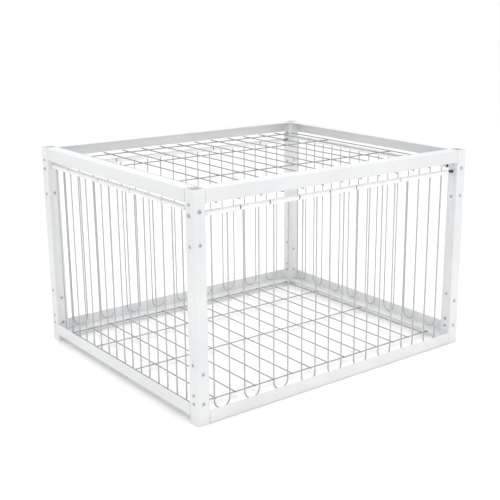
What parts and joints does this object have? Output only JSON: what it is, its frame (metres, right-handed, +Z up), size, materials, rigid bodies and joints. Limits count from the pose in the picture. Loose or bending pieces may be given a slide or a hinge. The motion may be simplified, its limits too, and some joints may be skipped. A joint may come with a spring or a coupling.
{
  "type": "one-way wire-wall cage",
  "caption": "Low white frame cage with walls of free-hanging U-shaped wires that swing inwards to let an animal in and stop against the bottom rails from inside.",
  "frame": {"origin": "on the ground under the middle of the cage", "axes": "+Z up, +X along the long front from its left post to its right post, +Y from front to back"},
  "size_m": [0.6746, 0.5706, 0.42],
  "materials": {
    "frame_white": "white powder coat, fine orange peel, satin",
    "swing_wire": "bright zinc-coated round wire under a white sleeve",
    "mesh_wire": "dull zinc-coated welded wire",
    "steel_pin": "drawn steel",
    "zinc_screw": "zinc plate"
  },
  "bodies": {
    "root": {"front_left_post": "frame_white", "front_right_post": "frame_white", "back_left_post": "frame_white", "back_right_post": "frame_white", "front_bottom_rail": "frame_white", "front_top_rail": "frame_white", "front_hanger_rod": "steel_pin", "front_rod_screw_start": "zinc_screw", "front_rod_screw_end": "zinc_screw", "right_bottom_rail": "frame_white", "right_top_rail": "frame_white", "right_hanger_rod": "steel_pin", "right_rod_screw_start": "zinc_screw", "right_rod_screw_end": "zinc_screw", "back_bottom_rail": "frame_white", "back_top_rail": "frame_white", "back_hanger_rod": "steel_pin", "back_rod_screw_start": "zinc_screw", "back_rod_screw_end": "zinc_screw", "left_bottom_rail": "frame_white", "left_top_rail": "frame_white", "left_hanger_rod": "steel_pin", "left_rod_screw_start": "zinc_screw", "left_rod_screw_end": "zinc_screw", "floor_mesh": "mesh_wire", "top_mesh": "mesh_wire"},
    "front_swing_wire_1": {"front_swing_wire_1": "swing_wire"},
    "front_swing_wire_2": {"front_swing_wire_2": "swing_wire"},
    "front_swing_wire_3": {"front_swing_wire_3": "swing_wire"},
    "front_swing_wire_4": {"front_swing_wire_4": "swing_wire"},
    "front_swing_wire_5": {"front_swing_wire_5": "swing_wire"},
    "front_swing_wire_6": {"front_swing_wire_6": "swing_wire"},
    "front_swing_wire_7": {"front_swing_wire_7": "swing_wire"},
    "front_swing_wire_8": {"front_swing_wire_8": "swing_wire"},
    "front_swing_wire_9": {"front_swing_wire_9": "swing_wire"},
    "right_swing_wire_1": {"right_swing_wire_1": "swing_wire"},
    "right_swing_wire_2": {"right_swing_wire_2": "swing_wire"},
    "right_swing_wire_3": {"right_swing_wire_3": "swing_wire"},
    "right_swing_wire_4": {"right_swing_wire_4": "swing_wire"},
    "right_swing_wire_5": {"right_swing_wire_5": "swing_wire"},
    "right_swing_wire_6": {"right_swing_wire_6": "swing_wire"},
    "right_swing_wire_7": {"right_swing_wire_7": "swing_wire"},
    "right_swing_wire_8": {"right_swing_wire_8": "swing_wire"},
    "back_swing_wire_1": {"back_swing_wire_1": "swing_wire"},
    "back_swing_wire_2": {"back_swing_wire_2": "swing_wire"},
    "back_swing_wire_3": {"back_swing_wire_3": "swing_wire"},
    "back_swing_wire_4": {"back_swing_wire_4": "swing_wire"},
    "back_swing_wire_5": {"back_swing_wire_5": "swing_wire"},
    "back_swing_wire_6": {"back_swing_wire_6": "swing_wire"},
    "back_swing_wire_7": {"back_swing_wire_7": "swing_wire"},
    "back_swing_wire_8": {"back_swing_wire_8": "swing_wire"},
    "back_swing_wire_9": {"back_swing_wire_9": "swing_wire"},
    "left_swing_wire_1": {"left_swing_wire_1": "swing_wire"},
    "left_swing_wire_2": {"left_swing_wire_2": "swing_wire"},
    "left_swing_wire_3": {"left_swing_wire_3": "swing_wire"},
    "left_swing_wire_4": {"left_swing_wire_4": "swing_wire"},
    "left_swing_wire_5": {"left_swing_wire_5": "swing_wire"},
    "left_swing_wire_6": {"left_swing_wire_6": "swing_wire"},
    "left_swing_wire_7": {"left_swing_wire_7": "swing_wire"},
    "left_swing_wire_8": {"left_swing_wire_8": "swing_wire"}
  },
  "joints": [
    {"name": "front_swing_1", "type": "hinge", "parent": "root", "child": "front_swing_wire_1", "pos_m": [0, -0.2705, 0.3755], "axis": [1, 0, 0], "range_deg": [-1.4, 48]},
    {"name": "front_swing_2", "type": "hinge", "parent": "root", "child": "front_swing_wire_2", "pos_m": [0, -0.2705, 0.3755], "axis": [1, 0, 0], "range_deg": [-1.4, 48]},
    {"name": "front_swing_3", "type": "hinge", "parent": "root", "child": "front_swing_wire_3", "pos_m": [0, -0.2705, 0.3755], "axis": [1, 0, 0], "range_deg": [-1.4, 48]},
    {"name": "front_swing_4", "type": "hinge", "parent": "root", "child": "front_swing_wire_4", "pos_m": [0, -0.2705, 0.3755], "axis": [1, 0, 0], "range_deg": [-1.4, 48]},
    {"name": "front_swing_5", "type": "hinge", "parent": "root", "child": "front_swing_wire_5", "pos_m": [0, -0.2705, 0.3755], "axis": [1, 0, 0], "range_deg": [-1.4, 48]},
    {"name": "front_swing_6", "type": "hinge", "parent": "root", "child": "front_swing_wire_6", "pos_m": [0, -0.2705, 0.3755], "axis": [1, 0, 0], "range_deg": [-1.4, 48]},
    {"name": "front_swing_7", "type": "hinge", "parent": "root", "child": "front_swing_wire_7", "pos_m": [0, -0.2705, 0.3755], "axis": [1, 0, 0], "range_deg": [-1.4, 48]},
    {"name": "front_swing_8", "type": "hinge", "parent": "root", "child": "front_swing_wire_8", "pos_m": [0, -0.2705, 0.3755], "axis": [1, 0, 0], "range_deg": [-1.4, 48]},
    {"name": "front_swing_9", "type": "hinge", "parent": "root", "child": "front_swing_wire_9", "pos_m": [0, -0.2705, 0.3755], "axis": [1, 0, 0], "range_deg": [-1.4, 48]},
    {"name": "right_swing_1", "type": "hinge", "parent": "root", "child": "right_swing_wire_1", "pos_m": [0.3225, 0, 0.382], "axis": [0, 1, 0], "range_deg": [-1.4, 49.9]},
    {"name": "right_swing_2", "type": "hinge", "parent": "root", "child": "right_swing_wire_2", "pos_m": [0.3225, 0, 0.382], "axis": [0, 1, 0], "range_deg": [-1.4, 49.9]},
    {"name": "right_swing_3", "type": "hinge", "parent": "root", "child": "right_swing_wire_3", "pos_m": [0.3225, 0, 0.382], "axis": [0, 1, 0], "range_deg": [-1.4, 49.9]},
    {"name": "right_swing_4", "type": "hinge", "parent": "root", "child": "right_swing_wire_4", "pos_m": [0.3225, 0, 0.382], "axis": [0, 1, 0], "range_deg": [-1.4, 49.9]},
    {"name": "right_swing_5", "type": "hinge", "parent": "root", "child": "right_swing_wire_5", "pos_m": [0.3225, 0, 0.382], "axis": [0, 1, 0], "range_deg": [-1.4, 49.9]},
    {"name": "right_swing_6", "type": "hinge", "parent": "root", "child": "right_swing_wire_6", "pos_m": [0.3225, 0, 0.382], "axis": [0, 1, 0], "range_deg": [-1.4, 49.9]},
    {"name": "right_swing_7", "type": "hinge", "parent": "root", "child": "right_swing_wire_7", "pos_m": [0.3225, 0, 0.382], "axis": [0, 1, 0], "range_deg": [-1.4, 49.9]},
    {"name": "right_swing_8", "type": "hinge", "parent": "root", "child": "right_swing_wire_8", "pos_m": [0.3225, 0, 0.382], "axis": [0, 1, 0], "range_deg": [-1.4, 49.9]},
    {"name": "back_swing_1", "type": "hinge", "parent": "root", "child": "back_swing_wire_1", "pos_m": [0, 0.2705, 0.3755], "axis": [-1, 0, 0], "range_deg": [-1.4, 48]},
    {"name": "back_swing_2", "type": "hinge", "parent": "root", "child": "back_swing_wire_2", "pos_m": [0, 0.2705, 0.3755], "axis": [-1, 0, 0], "range_deg": [-1.4, 48]},
    {"name": "back_swing_3", "type": "hinge", "parent": "root", "child": "back_swing_wire_3", "pos_m": [0, 0.2705, 0.3755], "axis": [-1, 0, 0], "range_deg": [-1.4, 48]},
    {"name": "back_swing_4", "type": "hinge", "parent": "root", "child": "back_swing_wire_4", "pos_m": [0, 0.2705, 0.3755], "axis": [-1, 0, 0], "range_deg": [-1.4, 48]},
    {"name": "back_swing_5", "type": "hinge", "parent": "root", "child": "back_swing_wire_5", "pos_m": [0, 0.2705, 0.3755], "axis": [-1, 0, 0], "range_deg": [-1.4, 48]},
    {"name": "back_swing_6", "type": "hinge", "parent": "root", "child": "back_swing_wire_6", "pos_m": [0, 0.2705, 0.3755], "axis": [-1, 0, 0], "range_deg": [-1.4, 48]},
    {"name": "back_swing_7", "type": "hinge", "parent": "root", "child": "back_swing_wire_7", "pos_m": [0, 0.2705, 0.3755], "axis": [-1, 0, 0], "range_deg": [-1.4, 48]},
    {"name": "back_swing_8", "type": "hinge", "parent": "root", "child": "back_swing_wire_8", "pos_m": [0, 0.2705, 0.3755], "axis": [-1, 0, 0], "range_deg": [-1.4, 48]},
    {"name": "back_swing_9", "type": "hinge", "parent": "root", "child": "back_swing_wire_9", "pos_m": [0, 0.2705, 0.3755], "axis": [-1, 0, 0], "range_deg": [-1.4, 48]},
    {"name": "left_swing_1", "type": "hinge", "parent": "root", "child": "left_swing_wire_1", "pos_m": [-0.3225, 0, 0.382], "axis": [0, -1, 0], "range_deg": [-1.4, 49.9]},
    {"name": "left_swing_2", "type": "hinge", "parent": "root", "child": "left_swing_wire_2", "pos_m": [-0.3225, 0, 0.382], "axis": [0, -1, 0], "range_deg": [-1.4, 49.9]},
    {"name": "left_swing_3", "type": "hinge", "parent": "root", "child": "left_swing_wire_3", "pos_m": [-0.3225, 0, 0.382], "axis": [0, -1, 0], "range_deg": [-1.4, 49.9]},
    {"name": "left_swing_4", "type": "hinge", "parent": "root", "child": "left_swing_wire_4", "pos_m": [-0.3225, 0, 0.382], "axis": [0, -1, 0], "range_deg": [-1.4, 49.9]},
    {"name": "left_swing_5", "type": "hinge", "parent": "root", "child": "left_swing_wire_5", "pos_m": [-0.3225, 0, 0.382], "axis": [0, -1, 0], "range_deg": [-1.4, 49.9]},
    {"name": "left_swing_6", "type": "hinge", "parent": "root", "child": "left_swing_wire_6", "pos_m": [-0.3225, 0, 0.382], "axis": [0, -1, 0], "range_deg": [-1.4, 49.9]},
    {"name": "left_swing_7", "type": "hinge", "parent": "root", "child": "left_swing_wire_7", "pos_m": [-0.3225, 0, 0.382], "axis": [0, -1, 0], "range_deg": [-1.4, 49.9]},
    {"name": "left_swing_8", "type": "hinge", "parent": "root", "child": "left_swing_wire_8", "pos_m": [-0.3225, 0, 0.382], "axis": [0, -1, 0], "range_deg": [-1.4, 49.9]}
  ]
}
